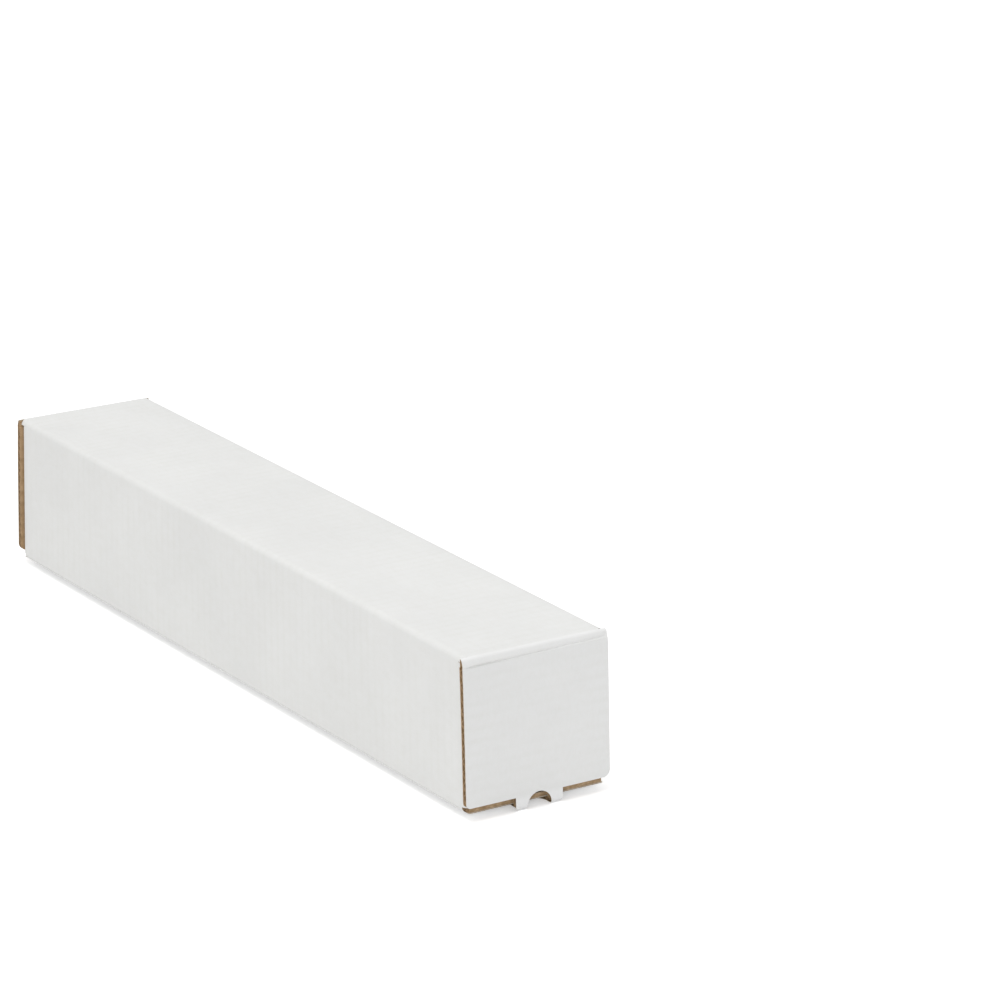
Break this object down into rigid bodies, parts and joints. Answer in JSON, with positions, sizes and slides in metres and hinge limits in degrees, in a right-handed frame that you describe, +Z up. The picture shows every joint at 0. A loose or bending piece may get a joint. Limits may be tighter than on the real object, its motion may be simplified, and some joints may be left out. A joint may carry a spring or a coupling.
{
  "type": "cardboard mailing tube",
  "caption": "Square corrugated mailing tube, white outside and brown inside, with a hinged tuck flap closing each end over folded-in dust flaps.",
  "frame": {"origin": "under the middle of the tube, on the surface that it lies on", "axes": "+Y along the tube towards the far end, +Z up, +X towards the glued side"},
  "size_m": [0.0868, 0.4766, 0.0853],
  "materials": {
    "white_lined_board": "matt bleached outer liner",
    "brown_liner": "matt unbleached inner liner and cut edges"
  },
  "bodies": {
    "tube": {"tube_body": "white_lined_board"},
    "near_flap": {"near_end_flap": "white_lined_board"},
    "far_flap": {"far_end_flap": "white_lined_board"}
  },
  "joints": [
    {"name": "near_flap_hinge", "type": "hinge", "parent": "tube", "child": "near_flap", "pos_m": [0, -0.2368, 0.0838], "axis": [-1, 0, 0], "range_deg": [0, 180]},
    {"name": "far_flap_hinge", "type": "hinge", "parent": "tube", "child": "far_flap", "pos_m": [0, 0.2368, 0.0838], "axis": [1, 0, 0], "range_deg": [0, 180]}
  ]
}
